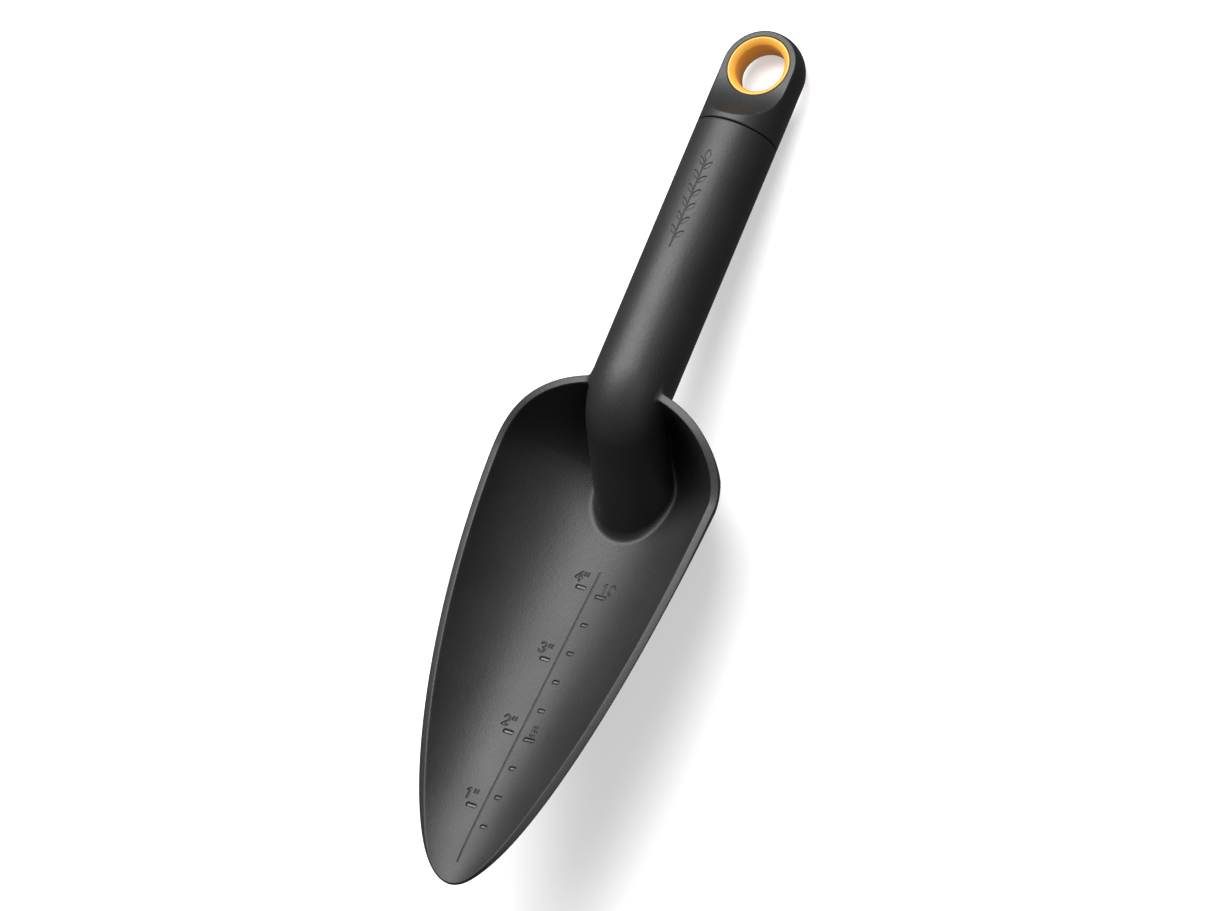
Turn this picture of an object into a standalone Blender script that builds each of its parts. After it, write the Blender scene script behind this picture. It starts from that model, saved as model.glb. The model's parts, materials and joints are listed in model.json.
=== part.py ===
"""Hand trowel: a one-piece scoop and hollow grip, an end cap with a hanging hole and a hole liner.

Lengths are in millimetres in the grip frame: X along the grip towards the end cap with the seam
at 0, Z out of the hollow side of the scoop, Y across. Every piece is then turned and lowered
together so that the trowel lies on its belly and the end of its grip.
"""
import math

import bmesh
import bpy
import numpy as np
from mathutils import Vector
from mathutils.bvhtree import BVHTree

MM = 0.001

# Scoop
TIP_X = -239.4
TIP_Z = -14.2
SHOULDER = 127.6          # from the tip to the widest place
HEEL_RUN = 28.5           # from the widest place to where the rim would close behind the neck
TIP_ROUND = 15.6          # width squared over length near the tip
SIDE_DRAW = 2.65e-4       # how fast the sides straighten behind the tip
SIDE_RISE = 9.15          # rim rise from the tip to the shoulder
SIDE_RISE_POWER = 2.2
HEEL_RISE = 9.3           # rim rise from the shoulder to the neck
HEEL_RISE_POWER = 1.7
WALL = 2.5
TIP_WALL = 1.1
TIP_WALL_RUN = 30.0
FLOOR_START = -12.4       # height of the straight floor line carried on to the tip
FLOOR_SLOPE = math.radians(8.14)
TIP_DIP = 1.8
TIP_DIP_RUN = 25.0
MAX_SIDE_ANGLE = math.radians(84.0)
TROUGH_R = 38.0           # rough radius across the floor
HEEL_ROUND = 15.0         # side-view radius between belly and heel
ARMPIT_ROUND = 9.0        # side-view radius between heel and grip
HEEL_BEHIND_NECK = 1.6
SCOOP_END = 163.0         # last loft station from the tip, buried in the grip
SCOOP_END_WIDTH = 8.5
SCOOP_END_TAPER = 0.45
SCOOP_END_RISE = 1.0      # how far the last station sits above the underside of the grip

# Grip and neck
GRIP_R = 12.65
GRIP_R_AT_BEND = 12.54
NECK_R = 11.7
CORNER_X = -90.0          # where the grip axis and the neck axis cross
NECK_ANGLE = math.radians(59.1)
BEND_R = 14.0
CAVITY_R = 9.3
NECK_CAVITY_R = 8.3
CAVITY_IN_NECK = 9.0      # straight length of the cavity past the bend
EDGE = 0.35               # chamfer on both sides of the cap seam
SEAM = 0.3

# Scale in the floor of the scoop
CUT_DEPTH = 0.45
LINE_WIDTH = 0.5
LINE_FROM = 7.0
LINE_TO = 106.3
TICK_START = 2.05         # from the centre line to the near end of a tick
TICK_WIDTH = 1.1
LONG_TICK = 3.6
SHORT_TICK = 2.1
INCH_TICK = 3.0
SCALE_SHIFT = -0.5        # the scale is counted from just ahead of the tip of the floor line
INCH = 25.4

# End cap
SPIGOT_R = 9.0
SPIGOT_BORE_R = 6.8
SPIGOT_LENGTH = 22.0
SPIGOT_FLOOR = 3.0
BEAD_X = -14.0
BEAD_HALF = 1.0
BEAD_HEIGHT = 0.6
HEAD_R = 12.5
RING_X = 22.0
FLAT_Z = 5.0
RUNOUT_X = 17.5
RUNOUT_R = 19.0
LINER_SEAT_R = 9.9

# Hole liner
LINER_R = 9.6
LINER_BORE_R = 7.7
LIP_ROUND = 1.4
LINER_EDGE = 0.25

HEEL_STATIONS = [0.0, 0.1, 0.2, 0.3, 0.39, 0.48, 0.56, 0.64, 0.71, 0.78, 0.84, 0.9, 0.95, 1.0]
SIDES = 56
SCOOP_COLUMNS = 30


def half_width(u):
    """Half width of the rim at distance u from the tip."""
    if u <= SHOULDER:
        return math.sqrt(max(u * (TIP_ROUND - SIDE_DRAW * u * u), 0.0))
    widest = math.sqrt(SHOULDER * (TIP_ROUND - SIDE_DRAW * SHOULDER ** 2))
    t = min((u - SHOULDER) / HEEL_RUN, 1.0)
    width = widest * math.sqrt(1.0 - t * t)
    buried = SCOOP_END_WIDTH + SCOOP_END_TAPER * (SCOOP_END - u)
    return max(width, buried)


def rim_height(u):
    """Height of the rim at distance u from the tip."""
    if u <= SHOULDER:
        return TIP_Z + SIDE_RISE * (1.0 - (1.0 - u / SHOULDER) ** SIDE_RISE_POWER)
    t = min((u - SHOULDER) / HEEL_RUN, 1.0)
    return TIP_Z + SIDE_RISE + HEEL_RISE * math.sin(math.pi / 2 * t) ** HEEL_RISE_POWER


def floor_height(u):
    """Height of the inside floor line ahead of the heel."""
    dip = TIP_DIP * max(1.0 - u / TIP_DIP_RUN, 0.0) ** 2
    return FLOOR_START - u * math.tan(FLOOR_SLOPE) - dip


def fillet(corner, angle_in, angle_out, radius, count):
    """Points of an arc that rounds the corner between two directions in the side view."""
    turn = angle_out - angle_in
    reach = radius * math.tan(abs(turn) / 2)
    side = math.copysign(1.0, turn)
    start = (corner[0] - reach * math.cos(angle_in), corner[1] - reach * math.sin(angle_in))
    centre = (start[0] - side * radius * math.sin(angle_in), start[1] + side * radius * math.cos(angle_in))
    points = []
    for step in range(count + 1):
        angle = angle_in + turn * step / count
        points.append((centre[0] + side * radius * math.sin(angle),
                       centre[1] - side * radius * math.cos(angle)))
    return points


def heel_line():
    """Corner points of the outside profile: belly to heel, and heel to the underside of the grip."""
    back = NECK_R + HEEL_BEHIND_NECK
    slope = math.tan(NECK_ANGLE)
    through_u = CORNER_X - TIP_X + back * math.sin(NECK_ANGLE)
    through_z = -back * math.cos(NECK_ANGLE)
    belly_z = FLOOR_START - WALL / math.cos(FLOOR_SLOPE)
    low_u = (slope * through_u - through_z + belly_z) / (slope + math.tan(FLOOR_SLOPE))
    low = (low_u, belly_z - low_u * math.tan(FLOOR_SLOPE))
    under_z = SCOOP_END_RISE - GRIP_R_AT_BEND
    high = (through_u + (under_z - through_z) / slope, under_z)
    return low, high


def belly_profile():
    """Outside centre line of the scoop from the tip to the grip, as (u, z) points."""
    low, high = heel_line()
    points = []
    for u in [0.0, 0.4, 1.2, 2.5, 4.5, 7, 10, 14, 19, 25, 33, 42, 52, 62, 72, 82, 92, 102, 111, 118, 123]:
        points.append((u, floor_height(u) - wall_at(u) / math.cos(FLOOR_SLOPE)))
    points += fillet(low, -FLOOR_SLOPE, NECK_ANGLE, HEEL_ROUND, 24)
    points += fillet(high, NECK_ANGLE, 0.0, ARMPIT_ROUND, 12)
    points.append((SCOOP_END + 1.0, high[1]))
    return points


def scoop_stations():
    """Loft stations: the straight part of the profile, then closer ones around the heel."""
    profile = np.array(belly_profile())
    ahead = [u for u, z in belly_profile() if u < SHOULDER - 4.0]
    behind = [SHOULDER + HEEL_RUN * t for t in HEEL_STATIONS]
    stations = ahead + behind + [SCOOP_END - 4.0, SCOOP_END]
    return [(u, float(np.interp(u, profile[:, 0], profile[:, 1]))) for u in stations]


def wall_at(u):
    """Wall thickness: thin at the tip, full further back."""
    t = min(u / TIP_WALL_RUN, 1.0)
    return TIP_WALL + (WALL - TIP_WALL) * t


def scoop_outside():
    """Outside skin of the scoop as rows of points across the trough."""
    rows = []
    for u, low in scoop_stations():
        width = max(half_width(u), 0.25)
        rim = rim_height(u)
        depth = max(rim - low, 0.2)
        angle = min(2.0 * math.atan2(depth, width), MAX_SIDE_ANGLE)
        row = []
        for column in range(SCOOP_COLUMNS + 1):
            a = angle * (2.0 * column / SCOOP_COLUMNS - 1.0)
            y = width * math.sin(a) / math.sin(angle)
            z = low + depth * (1.0 - math.cos(a)) / (1.0 - math.cos(angle))
            row.append((TIP_X + u, y, z))
        rows.append(row)
    return np.array(rows)


def skin_normals(grid):
    """Unit normals that point to the hollow side."""
    along = np.gradient(grid, axis=0)
    across = np.gradient(grid, axis=1)
    normal = np.cross(along, across)
    return normal / np.linalg.norm(normal, axis=2, keepdims=True)


def offset_skin(grid, share):
    """Copy of the outside skin moved into the hollow by a share of the wall."""
    walls = np.array([wall_at(row[0][0] - TIP_X) for row in grid])
    return grid + skin_normals(grid) * (walls * share)[:, None, None]


def new_object(name, verts, faces, material=None):
    mesh = bpy.data.meshes.new(name)
    mesh.from_pydata([Vector(v) * MM for v in verts], [], faces)
    mesh.update()
    obj = bpy.data.objects.new(name, mesh)
    bpy.context.scene.collection.objects.link(obj)
    if material:
        mesh.materials.append(material)
    return obj


def fix_normals(obj):
    """Weld coincident points and turn all faces outward."""
    bm = bmesh.new()
    bm.from_mesh(obj.data)
    bmesh.ops.remove_doubles(bm, verts=bm.verts, dist=1e-7)
    bmesh.ops.recalc_face_normals(bm, faces=bm.faces)
    bm.to_mesh(obj.data)
    bm.free()


def grid_faces(rows, columns, start=0, flip=False):
    faces = []
    for i in range(rows - 1):
        for j in range(columns - 1):
            a = start + i * columns + j
            face = (a, a + 1, a + columns + 1, a + columns)
            faces.append(face[::-1] if flip else face)
    return faces


def make_scoop():
    """Closed shell: outside skin, inside skin and the rim between them."""
    outer = scoop_outside()
    inner = offset_skin(outer, 1.0)
    rows, columns = outer.shape[:2]
    verts = outer.reshape(-1, 3).tolist() + inner.reshape(-1, 3).tolist()
    count = rows * columns
    faces = grid_faces(rows, columns) + grid_faces(rows, columns, count, flip=True)
    border = [j for j in range(columns)]
    border += [i * columns + columns - 1 for i in range(1, rows)]
    border += [(rows - 1) * columns + j for j in range(columns - 2, -1, -1)]
    border += [i * columns for i in range(rows - 2, 0, -1)]
    for here, there in zip(border, border[1:] + border[:1]):
        faces.append((here, there, count + there, count + here))
    scoop = new_object("scoop_and_grip", verts, faces)
    fix_normals(scoop)
    return scoop


def ring_points(centre_x, centre_z, tangent, radius, sides=SIDES):
    """Circle of points square to a direction in the side view."""
    points = []
    for k in range(sides):
        a = 2.0 * math.pi * k / sides
        up = radius * math.cos(a)
        points.append((centre_x - up * math.sin(tangent), radius * math.sin(a), centre_z + up * math.cos(tangent)))
    return points


def axis_stations(grip_r, neck_r, end_x, bend_steps=10):
    """Stations (x, z, direction, radius) from the seam end of the grip to the end of the bend."""
    reach = BEND_R * math.tan(NECK_ANGLE / 2)
    bend_x = CORNER_X + reach
    stations = [(end_x, 0.0, math.pi, grip_r)]
    for step in range(bend_steps + 1):
        angle = NECK_ANGLE * step / bend_steps
        x = bend_x - BEND_R * math.sin(angle)
        z = -BEND_R * (1.0 - math.cos(angle))
        start_r = min(grip_r, GRIP_R_AT_BEND)
        radius = start_r + (neck_r - start_r) * step / bend_steps
        stations.append((x, z, math.pi + angle, radius))
    return stations


def stack_rings(rings):
    """Quads between rings of equal length."""
    sides = len(rings[0])
    verts = [point for ring in rings for point in ring]
    faces = []
    for i in range(len(rings) - 1):
        for k in range(sides):
            k2 = (k + 1) % sides
            faces.append((i * sides + k, i * sides + k2, (i + 1) * sides + k2, (i + 1) * sides + k))
    return verts, faces


def make_grip(buried_skin):
    """Outside of the grip, the bend and the neck down into the middle of the scoop wall."""
    rings = []
    for x, z, direction, radius in axis_stations(GRIP_R, NECK_R, -EDGE):
        if not rings:
            rings.append(ring_points(0.0, 0.0, direction, radius - EDGE))
        rings.append(ring_points(x, z, direction, radius))
    x, z, direction, radius = axis_stations(GRIP_R, NECK_R, -EDGE)[-1]
    down = Vector((math.cos(direction), 0.0, math.sin(direction)))
    for share in (1.0, 0.8, 0.6, 0.4, 0.2):
        ring = []
        for point in ring_points(x, z, direction, radius * share):
            hit = buried_skin.ray_cast(Vector(point), down)[0]
            ring.append(tuple(hit))
        rings.append(ring)
    verts, faces = stack_rings(rings)
    faces.append(tuple(range(SIDES)))
    middle = len(verts)
    verts.append(tuple(buried_skin.ray_cast(Vector((x, 0.0, z)), down)[0]))
    last = len(rings) * SIDES - SIDES
    for k in range(SIDES):
        faces.append((last + k, last + (k + 1) % SIDES, middle))
    grip = new_object("grip_solid", verts, faces)
    fix_normals(grip)
    return grip


def make_cavity():
    """Hollow of the grip, open at the cap end, with a groove for the bead of the cap."""
    groove = BEAD_HALF + SEAM
    rings = []
    for x, radius in [(5.0, CAVITY_R), (BEAD_X + groove + BEAD_HEIGHT, CAVITY_R), (BEAD_X + groove, CAVITY_R + BEAD_HEIGHT),
                      (BEAD_X - groove, CAVITY_R + BEAD_HEIGHT), (BEAD_X - groove - BEAD_HEIGHT, CAVITY_R)]:
        rings.append(ring_points(x, 0.0, math.pi, radius))
    stations = axis_stations(CAVITY_R, NECK_CAVITY_R, 0.0)[1:]
    for x, z, direction, radius in stations:
        rings.append(ring_points(x, z, direction, radius))
    x, z, direction, radius = stations[-1]
    for step in range(5):
        a = math.pi / 2 * step / 5
        run = CAVITY_IN_NECK + radius * math.sin(a)
        rings.append(ring_points(x + run * math.cos(direction), z + run * math.sin(direction),
                                 direction, radius * math.cos(a)))
    verts, faces = stack_rings(rings)
    faces.append(tuple(range(SIDES)))
    last = (len(rings) - 1) * SIDES
    middle = len(verts)
    run = CAVITY_IN_NECK + radius
    verts.append((x + run * math.cos(direction), 0.0, z + run * math.sin(direction)))
    for k in range(SIDES):
        faces.append((last + k, last + (k + 1) % SIDES, middle))
    cavity = new_object("cavity_cutter", verts, faces)
    fix_normals(cavity)
    return cavity


def floor_bar(name, u_from, u_to, y_from, y_to, steps):
    """Cutter that follows the floor line of the scoop and sinks into it."""
    verts = []
    for step in range(steps + 1):
        u = u_from + (u_to - u_from) * step / steps
        low = floor_height(u) + 0.5 * (0.5 * (y_from + y_to)) ** 2 / TROUGH_R - CUT_DEPTH
        for y, z in [(y_from, low), (y_to, low), (y_to, low + 3.0), (y_from, low + 3.0)]:
            verts.append((TIP_X + u, y, z))
    faces = [(0, 1, 2, 3), tuple(4 * steps + k for k in (3, 2, 1, 0))]
    for step in range(steps):
        for k in range(4):
            a = 4 * step + k
            b = 4 * step + (k + 1) % 4
            faces.append((a, b, b + 4, a + 4))
    bar = new_object(name, verts, faces)
    fix_normals(bar)
    return bar


def tick(along_floor, y_from, y_to):
    """Cutter for one tick at a distance along the sloping floor."""
    u = along_floor * math.cos(FLOOR_SLOPE) + SCALE_SHIFT
    return floor_bar("tick_cutter", u - TICK_WIDTH / 2, u + TICK_WIDTH / 2, y_from, y_to, 1)


def make_scale():
    """Cutters for the depth scale: centre line, inch ticks on one side, centimetre ticks on the other."""
    bars = [floor_bar("line_cutter", LINE_FROM, LINE_TO, -LINE_WIDTH / 2, LINE_WIDTH / 2, 14)]
    for number in range(2, 11):
        length = LONG_TICK if number in (5, 10) else SHORT_TICK
        bars.append(tick(10.0 * number, -TICK_START - length, -TICK_START))
    for number in range(1, 5):
        bars.append(tick(INCH * number, TICK_START, TICK_START + INCH_TICK))
    return bars


def revolve(name, profile, sides=SIDES, along_x=True, closed=False):
    """Solid of revolution about X or Z from (along, radius) points."""
    verts = []
    index = []
    for along, radius in profile:
        if radius < 1e-9:
            index.append([len(verts)])
            verts.append((along, 0.0, 0.0) if along_x else (0.0, 0.0, along))
            continue
        ring = []
        for k in range(sides):
            a = 2.0 * math.pi * k / sides
            ring.append(len(verts))
            c, s = radius * math.cos(a), radius * math.sin(a)
            verts.append((along, s, c) if along_x else (c, s, along))
        index.append(ring)
    pairs = list(zip(index, index[1:]))
    if closed:
        pairs.append((index[-1], index[0]))
    faces = []
    for one, two in pairs:
        for k in range(sides):
            k2 = (k + 1) % sides
            corner = [one[k % len(one)], one[k2 % len(one)], two[k2 % len(two)], two[k % len(two)]]
            face = list(dict.fromkeys(corner))
            if len(face) > 2:
                faces.append(tuple(face))
    obj = new_object(name, verts, faces)
    fix_normals(obj)
    return obj


def make_cap():
    """Turned blank of the cap: cupped spigot with a snap bead, shoulder, barrel and round head."""
    bead_top = SPIGOT_R + BEAD_HEIGHT
    profile = [(-SPIGOT_FLOOR, 0.0), (-SPIGOT_FLOOR, SPIGOT_BORE_R), (-SPIGOT_LENGTH, SPIGOT_BORE_R),
               (-SPIGOT_LENGTH, SPIGOT_R - 1.0), (-SPIGOT_LENGTH + 1.0, SPIGOT_R)]
    profile += [(BEAD_X - BEAD_HALF - BEAD_HEIGHT, SPIGOT_R), (BEAD_X - BEAD_HALF, bead_top),
                (BEAD_X + BEAD_HALF, bead_top), (BEAD_X + BEAD_HALF + BEAD_HEIGHT, SPIGOT_R)]
    profile += [(SEAM, SPIGOT_R), (SEAM, GRIP_R - EDGE), (SEAM + EDGE, GRIP_R)]
    for step in range(13):
        a = math.pi / 2 * step / 12
        profile.append((RING_X + HEAD_R * math.sin(a), HEAD_R * math.cos(a) if step < 12 else 0.0))
    return revolve("end_cap", profile)


def make_flat_cutter(side):
    """Block that leaves a flat on one side of the head, with a hollow run-out towards the seam."""
    outline = []
    top = GRIP_R + 2.0
    start = math.asin((RUNOUT_R + FLAT_Z - top) / RUNOUT_R)
    for step in range(11):
        a = start + (math.pi / 2 - start) * step / 10
        outline.append((RUNOUT_X - RUNOUT_R * math.cos(a), FLAT_Z + RUNOUT_R * (1.0 - math.sin(a))))
    outline += [(RING_X + HEAD_R + 4.0, FLAT_Z), (RING_X + HEAD_R + 4.0, top)]
    reach = GRIP_R + 3.0
    verts = [(x, y, side * z) for y in (-reach, reach) for x, z in outline]
    count = len(outline)
    faces = [tuple(range(count)), tuple(range(2 * count - 1, count - 1, -1))]
    for k in range(count):
        k2 = (k + 1) % count
        faces.append((k, k2, count + k2, count + k))
    cutter = new_object("flat_cutter", verts, faces)
    fix_normals(cutter)
    return cutter


def make_liner():
    """Sleeve that lines the hanging hole, with both lips rounded into the bore."""
    profile = [(-FLAT_Z, LINER_R - LINER_EDGE), (-FLAT_Z + LINER_EDGE, LINER_R),
               (FLAT_Z - LINER_EDGE, LINER_R), (FLAT_Z, LINER_R - LINER_EDGE)]
    steps = 6
    lip = []
    for step in range(steps + 1):
        a = math.pi / 2 * step / steps
        lip.append((FLAT_Z - LIP_ROUND * (1.0 - math.cos(a)), LINER_BORE_R + LIP_ROUND * (1.0 - math.sin(a))))
    profile += lip
    profile += [(-along, radius) for along, radius in reversed(lip)]
    return revolve("hang_ring", profile, along_x=False, closed=True)


def cut(target, tool, operation):
    """Add a hidden boolean tool to a target."""
    tool.hide_render = True
    tool.display_type = "WIRE"
    tool.parent = target
    modifier = target.modifiers.new(tool.name, "BOOLEAN")
    modifier.operation = operation
    modifier.object = tool
    modifier.solver = "EXACT"


def plain_material(name, colour, roughness):
    material = bpy.data.materials.new(name)
    material.use_nodes = True
    shader = material.node_tree.nodes["Principled BSDF"]
    shader.inputs["Base Color"].default_value = (*colour, 1.0)
    shader.inputs["Roughness"].default_value = roughness
    return material


def rest_pose():
    """Tilt and lift that put the belly and the end of the grip on the ground."""
    foot_x = RUNOUT_X - math.sqrt(RUNOUT_R ** 2 - (RUNOUT_R + FLAT_Z - GRIP_R) ** 2)
    foot_z = -GRIP_R
    tilt = 0.0
    for u, z in belly_profile():
        tilt = max(tilt, math.atan2(foot_z - z, foot_x - (TIP_X + u)))
    lift = foot_x * math.sin(tilt) - foot_z * math.cos(tilt)
    return tilt, lift


def place(obj, tilt, shift_x, lift, at=(0.0, 0.0, 0.0)):
    """Turn a piece about Y and move its own origin to a point of the grip frame."""
    x = at[0] * math.cos(tilt) + at[2] * math.sin(tilt) + shift_x
    z = -at[0] * math.sin(tilt) + at[2] * math.cos(tilt) + lift
    obj.rotation_euler = (0.0, tilt, 0.0)
    obj.location = (x * MM, at[1] * MM, z * MM)


def smooth(obj):
    for polygon in obj.data.polygons:
        polygon.use_smooth = True
    obj.data.set_sharp_from_angle(angle=math.radians(35.0))


def build():
    for obj in list(bpy.data.objects):
        bpy.data.objects.remove(obj, do_unlink=True)

    charcoal = plain_material("charcoal_plastic", (0.022, 0.022, 0.024), 0.55)
    cap_black = plain_material("cap_plastic", (0.020, 0.020, 0.022), 0.5)
    amber = plain_material("amber_plastic", (0.87, 0.46, 0.07), 0.42)

    outer = scoop_outside()
    middle = offset_skin(outer, 0.5)
    rows, columns = middle.shape[:2]
    buried_skin = BVHTree.FromPolygons(middle.reshape(-1, 3).tolist(), grid_faces(rows, columns))

    body = make_scoop()
    body.data.materials.append(charcoal)
    cut(body, make_grip(buried_skin), "UNION")
    cut(body, make_cavity(), "DIFFERENCE")
    for bar in make_scale():
        cut(body, bar, "DIFFERENCE")

    cap = make_cap()
    cap.data.materials.append(cap_black)
    cut(cap, make_flat_cutter(1.0), "DIFFERENCE")
    cut(cap, make_flat_cutter(-1.0), "DIFFERENCE")
    reach = GRIP_R + 3.0
    seat = revolve("seat_cutter", [(-reach, 0.0), (-reach, LINER_SEAT_R), (reach, LINER_SEAT_R), (reach, 0.0)],
                   along_x=False)
    seat.location.x = RING_X * MM
    cut(cap, seat, "DIFFERENCE")

    liner = make_liner()
    liner.data.materials.append(amber)

    tilt, lift = rest_pose()
    tip_z = floor_height(0.0) - TIP_WALL
    tip_x = TIP_X * math.cos(tilt) + tip_z * math.sin(tilt)
    head_x = RING_X * math.cos(tilt) + HEAD_R
    shift_x = -0.5 * (tip_x + head_x)
    place(body, tilt, shift_x, lift)
    place(cap, tilt, shift_x, lift)
    place(liner, tilt, shift_x, lift, at=(RING_X, 0.0, 0.0))
    for piece in (body, cap, liner):
        smooth(piece)


build()
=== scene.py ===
import json
import math

import bmesh
import bpy
import numpy as np
from mathutils import Matrix, Vector
from mathutils.bvhtree import BVHTree


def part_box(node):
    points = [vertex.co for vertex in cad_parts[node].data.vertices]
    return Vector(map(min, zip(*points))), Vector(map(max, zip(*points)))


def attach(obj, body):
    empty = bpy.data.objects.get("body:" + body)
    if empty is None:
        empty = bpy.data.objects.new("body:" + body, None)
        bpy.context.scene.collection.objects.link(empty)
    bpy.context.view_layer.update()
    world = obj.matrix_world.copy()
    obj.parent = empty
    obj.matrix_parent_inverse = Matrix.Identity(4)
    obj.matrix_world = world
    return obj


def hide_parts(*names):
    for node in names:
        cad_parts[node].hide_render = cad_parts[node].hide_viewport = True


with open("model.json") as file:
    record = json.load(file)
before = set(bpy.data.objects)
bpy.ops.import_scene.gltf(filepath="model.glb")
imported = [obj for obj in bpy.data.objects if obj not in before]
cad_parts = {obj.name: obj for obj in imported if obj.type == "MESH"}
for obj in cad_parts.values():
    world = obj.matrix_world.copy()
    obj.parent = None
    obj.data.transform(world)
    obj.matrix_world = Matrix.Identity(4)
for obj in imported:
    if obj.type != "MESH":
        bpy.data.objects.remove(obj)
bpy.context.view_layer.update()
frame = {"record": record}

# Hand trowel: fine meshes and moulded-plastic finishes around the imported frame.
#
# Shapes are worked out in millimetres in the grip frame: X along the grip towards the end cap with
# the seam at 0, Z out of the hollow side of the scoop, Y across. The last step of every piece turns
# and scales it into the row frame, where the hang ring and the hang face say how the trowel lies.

MM = 0.001
WELD_DISTANCE = 1e-4

# Scoop
TIP_X = -239.4
TIP_Z = -14.2
SHOULDER = 127.6          # from the tip to the widest place
HEEL_RUN = 28.5           # from the widest place to where the rim would close behind the neck
TIP_ROUND = 15.6          # width squared over length near the tip
SIDE_DRAW = 2.65e-4       # how fast the sides straighten behind the tip
SIDE_RISE = 9.15          # rim rise from the tip to the shoulder
SIDE_RISE_POWER = 2.2
HEEL_RISE = 9.3           # rim rise from the shoulder to the neck
HEEL_RISE_POWER = 1.7
WALL = 2.5
TIP_WALL = 1.1
TIP_WALL_RUN = 30.0
FLOOR_START = -12.4       # height of the straight floor line carried on to the tip
FLOOR_SLOPE = math.radians(8.14)
TIP_DIP = 1.8
TIP_DIP_RUN = 25.0
MAX_SIDE_ANGLE = math.radians(84.0)
HEEL_ROUND = 15.0         # side-view radius between belly and heel
ARMPIT_ROUND = 9.0        # side-view radius between heel and grip
HEEL_BEHIND_NECK = 1.6
SCOOP_END = 163.0         # last station from the tip, buried in the grip
SCOOP_END_WIDTH = 8.5
SCOOP_END_TAPER = 0.45
SCOOP_END_RISE = 1.0
BOW = 6.0                 # how far the rows bow forward in the middle at the tip
BOW_RUN = 22.0
RIM_ROUND = 0.4
RIM_LEVEL = 0.4           # 0 is a rim square to the wall, 1 a level one
RIM_LEVEL_START = 3.0
RIM_LEVEL_RUN = 14.0
TIP_EDGE_RUN = 8.0        # the rim's outer edge drops to the bottom of the wall over this run
MIN_WIDTH = 0.2
MIN_DEPTH = 0.02

# Grip and neck
GRIP_R = 12.65
GRIP_R_AT_BEND = 12.54
NECK_R = 11.7
CORNER_X = -90.0          # where the grip axis and the neck axis cross
NECK_ANGLE = math.radians(59.1)
BEND_R = 14.0
BEND_X = CORNER_X + BEND_R * math.tan(NECK_ANGLE / 2)
CAVITY_R = 9.3
NECK_CAVITY_R = 8.3
CAVITY_IN_NECK = 9.0      # straight length of the cavity past the bend
EDGE = 0.35               # rounding on both sides of the cap seam
SEAM = 0.3
FLOOR_FILLET = 2.2        # between the neck and the floor of the scoop
RIM_FILLET = 1.2          # between the neck and the rim or the outside of the scoop
FILLET_FADE = 8.0         # depth below the rim over which one turns into the other
ARMPIT_LOW = -20.0        # the outside of the scoop meets the grip above this height only

# Scale in the floor of the scoop
CUT_DEPTH = 0.45
CUT_EDGE = 0.13           # half width of the slope at the edge of a cut
LINE_WIDTH = 0.36
LINE_FROM = 7.0
LINE_TO = 106.3
TICK_START = 2.05         # from the centre line to the near end of a tick
TICK_WIDTH = 1.1
TICK_CORNER = 0.35
LONG_TICK = 3.6
SHORT_TICK = 2.1
INCH_TICK = 3.0
SCALE_SHIFT = -0.5
INCH = 25.4
DIGIT_HEIGHT = 3.5
DIGIT_STROKE = 0.42
INCH_LABEL_LEFT = 6.6     # y of the left edge of a label, and how far its foot is past its tick
INCH_LABEL_FOOT = 1.65
CM_LABELS = {"10": -3.2, "5": -3.1}
CM_LABEL_FOOT = 1.2
STROKE_DEPTH = 0.65       # depth of the line and the digits as a share of that of the ticks

# End cap and ring
SPIGOT_R = 9.0
SPIGOT_BORE_R = 6.8
SPIGOT_LENGTH = 22.0
SPIGOT_FLOOR = 3.0
BEAD_X = -14.0            # snap bead on the spigot, and its groove in the grip
BEAD_R = 0.6
HEAD_R = 12.7
RING_X = 22.0
FLAT_Z = 5.0
RUNOUT_X = 17.5
RUNOUT_R = 19.0
SEAT_R = 9.8
FACE_EDGE = 0.3           # rounding of the edges of the cap
RING_R = 9.72
RING_LAND_R = 9.25        # inner edge of the flat land round the ring
RING_BORE_R = 7.7
RING_LIP_DEPTH = 1.7      # how far the sloping lip goes into the bore
RING_LIP_BULGE = 0.1
RING_EDGE = 0.2

# Sprig pressed into the grip
SPRIG_FROM = -43.0
SPRIG_TO = -10.5
SPRIG_DEPTH = 0.22
LEAF_LENGTH = 2.5
LEAF_WIDTH = 0.85
LEAF_LEAN = math.radians(38.0)
LEAF_PAIRS = 6
PAIR_STEP = 4.6           # from one pair of leaves to the next
PAIR_STAGGER = 1.2        # how much further along the leaf on one side starts
STEM_HALF_WIDTH = 0.16

# Studio
FLOOR_SIZE = 6.0          # metres
FLOOR_GLOW = 0.45         # the floor is a light table, so that shadows on it stay pale
WORLD_GLOW = 0.15
KEY_PLACE = (0.71, 0.36, 1.2)
KEY_SIZE = (1.6, 0.9)
KEY_POWER = 42.0
FILL_PLACE = (0.1, -1.0, 1.1)
FILL_SIZE = (0.9, 0.7)
FILL_POWER = 3.0
LIGHT_TARGET = (0.0, 0.0, 0.02)

# Camera in the grip frame, from the fit to the depth scale
CAMERA_PLACE = (-584.305, -782.528, 1515.478)
CAMERA_RIGHT = (0.37263, -0.86745, -0.32966)
CAMERA_UP = (0.88784, 0.22991, 0.39859)
CAMERA_LENS = 179.4

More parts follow.
